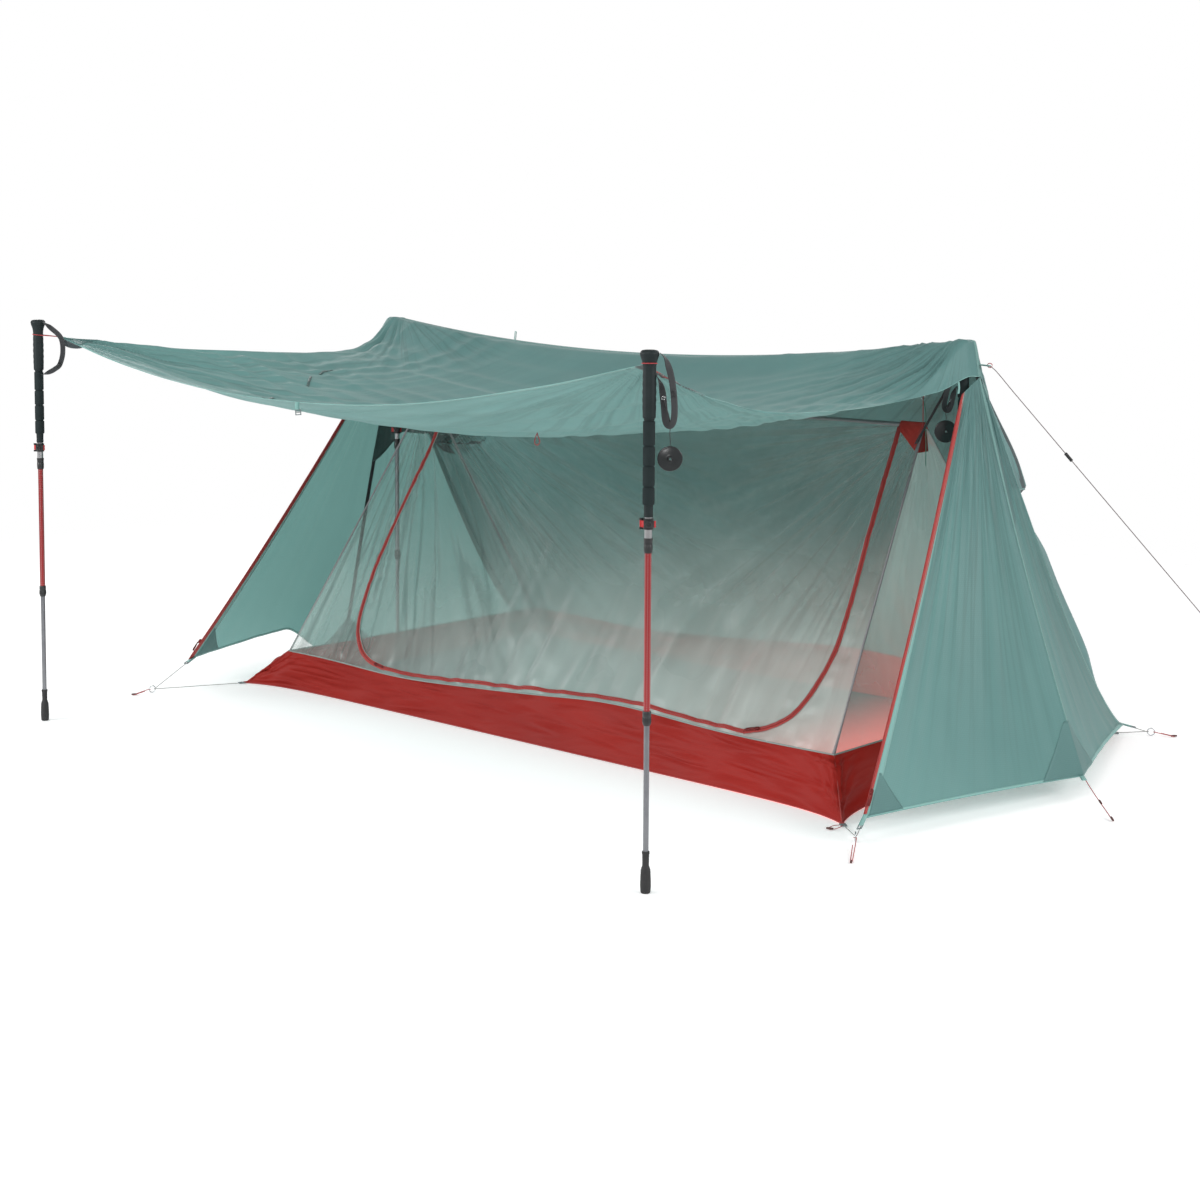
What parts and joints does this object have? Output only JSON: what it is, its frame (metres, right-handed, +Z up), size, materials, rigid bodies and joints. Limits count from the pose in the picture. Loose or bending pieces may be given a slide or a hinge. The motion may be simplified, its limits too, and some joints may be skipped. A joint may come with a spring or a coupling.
{
  "type": "trekking pole tent",
  "caption": "Low ridge tent with an outer cloth, a netting inner on a tub floor, and a front panel pitched as an awning on two telescopic poles.",
  "frame": {"origin": "on the ground, under the middle of the ridge, in the underside of the tub floor", "axes": "+X along the ridge to the right seen from the awning, +Y to the rear, +Z up"},
  "size_m": [3.1986, 2.1123, 1.1521],
  "materials": {
    "fly_cloth": "thin coated ripstop, satin",
    "floor_cloth": "coated floor cloth, satin",
    "mesh_cloth": "sheer netting, slight sheen",
    "red_tape": "woven zip tape",
    "grip_foam": "matte foam",
    "black_plastic": "moulded, satin",
    "red_plastic": "moulded",
    "red_tube": "anodised red",
    "grey_tube": "anodised grey",
    "foot_rubber": "matte",
    "webbing": "woven webbing",
    "cord_red": "braided cord",
    "cord_pale": "braided cord",
    "steel": "bright wire"
  },
  "bodies": {
    "tent": {"apex_cord_right": "cord_red", "apex_strap_right": "webbing", "awning_loop_left": "cord_red", "awning_loop_right": "cord_red", "basket_front_right": "black_plastic", "basket_ridge_right": "black_plastic", "corner_line_front_left": "cord_pale", "corner_line_front_right": "cord_pale", "corner_line_rear_right": "cord_pale", "end_line_right": "cord_red", "floor_tub": "floor_cloth", "fly_end_left": "fly_cloth", "fly_end_right": "fly_cloth", "fly_rear": "fly_cloth", "fly_roof": "fly_cloth", "fly_zip_left": "red_tape", "fly_zip_right": "red_tape", "guyline_ridge": "cord_pale", "inner_end_left": "mesh_cloth", "inner_end_right": "mesh_cloth", "inner_front": "mesh_cloth", "inner_patch_left": "red_tape", "inner_patch_right": "red_tape", "inner_rear": "mesh_cloth", "inner_zip_left": "red_tape", "inner_zip_right": "red_tape", "peg_loop_front_left": "cord_red", "peg_loop_front_right": "cord_red", "peg_loop_rear_right": "cord_red", "pole_front_left_grip": "grip_foam", "pole_front_left_upper_tube": "black_plastic", "pole_front_right_grip": "grip_foam", "pole_front_right_upper_tube": "black_plastic", "pole_ridge_left_grip": "grip_foam", "pole_ridge_left_upper_tube": "black_plastic", "pole_ridge_right_grip": "grip_foam", "pole_ridge_right_upper_tube": "black_plastic", "ring_front_left": "steel", "ring_front_right": "steel", "ring_rear_right": "steel", "strap_front_left": "webbing", "strap_front_right": "webbing", "strap_ridge_right": "webbing"},
    "front_right_lever": {"pole_front_right_lever": "red_plastic"},
    "front_right_middle": {"pole_front_right_middle_tube": "red_tube"},
    "front_right_lower": {"pole_front_right_lower_tube": "grey_tube", "pole_front_right_foot": "foot_rubber"},
    "front_left_lever": {"pole_front_left_lever": "red_plastic"},
    "front_left_middle": {"pole_front_left_middle_tube": "red_tube"},
    "front_left_lower": {"pole_front_left_lower_tube": "grey_tube", "pole_front_left_foot": "foot_rubber"},
    "ridge_right_lever": {"pole_ridge_right_lever": "red_plastic"},
    "ridge_right_middle": {"pole_ridge_right_middle_tube": "red_tube"},
    "ridge_right_lower": {"pole_ridge_right_lower_tube": "grey_tube", "pole_ridge_right_foot": "foot_rubber"},
    "ridge_left_lever": {"pole_ridge_left_lever": "red_plastic"},
    "ridge_left_middle": {"pole_ridge_left_middle_tube": "red_tube"},
    "ridge_left_lower": {"pole_ridge_left_lower_tube": "grey_tube", "pole_ridge_left_foot": "foot_rubber"},
    "tightener": {"line_tightener": "black_plastic"}
  },
  "joints": [
    {"name": "front_right_lever_hinge", "type": "hinge", "parent": "tent", "child": "front_right_lever", "pos_m": [1.13284, -1.3276, 0.788], "axis": [0, 0, -1], "range_deg": [0, 100]},
    {"name": "front_right_middle_slide", "type": "slide", "parent": "tent", "child": "front_right_middle", "axis": [0, 0, 1], "range_m": [0, 0.3]},
    {"name": "front_right_lower_slide", "type": "slide", "parent": "front_right_middle", "child": "front_right_lower", "axis": [0, 0, 1], "range_m": [0, 0.25]},
    {"name": "front_left_lever_hinge", "type": "hinge", "parent": "tent", "child": "front_left_lever", "pos_m": [-1.15916, -1.3276, 0.788], "axis": [0, 0, -1], "range_deg": [0, 100]},
    {"name": "front_left_middle_slide", "type": "slide", "parent": "tent", "child": "front_left_middle", "axis": [0, 0, 1], "range_m": [0, 0.3]},
    {"name": "front_left_lower_slide", "type": "slide", "parent": "front_left_middle", "child": "front_left_lower", "axis": [0, 0, 1], "range_m": [0, 0.25]},
    {"name": "ridge_right_lever_hinge", "type": "hinge", "parent": "tent", "child": "ridge_right_lever", "pos_m": [1.06484, -0.0306, 0.7636], "axis": [0, 0, -1], "range_deg": [0, 100]},
    {"name": "ridge_right_middle_slide", "type": "slide", "parent": "tent", "child": "ridge_right_middle", "axis": [0, 0, 1], "range_m": [0, 0.3]},
    {"name": "ridge_right_lower_slide", "type": "slide", "parent": "ridge_right_middle", "child": "ridge_right_lower", "axis": [0, 0, 1], "range_m": [0, 0.23]},
    {"name": "ridge_left_lever_hinge", "type": "hinge", "parent": "tent", "child": "ridge_left_lever", "pos_m": [-1.09116, -0.0306, 0.7636], "axis": [0, 0, -1], "range_deg": [0, 100]},
    {"name": "ridge_left_middle_slide", "type": "slide", "parent": "tent", "child": "ridge_left_middle", "axis": [0, 0, 1], "range_m": [0, 0.3]},
    {"name": "ridge_left_lower_slide", "type": "slide", "parent": "ridge_left_middle", "child": "ridge_left_lower", "axis": [0, 0, 1], "range_m": [0, 0.23]},
    {"name": "line_tightener_slide", "type": "slide", "parent": "tent", "child": "tightener", "axis": [0.7225, 0, -0.6914], "range_m": [-0.2, 0.45]}
  ]
}
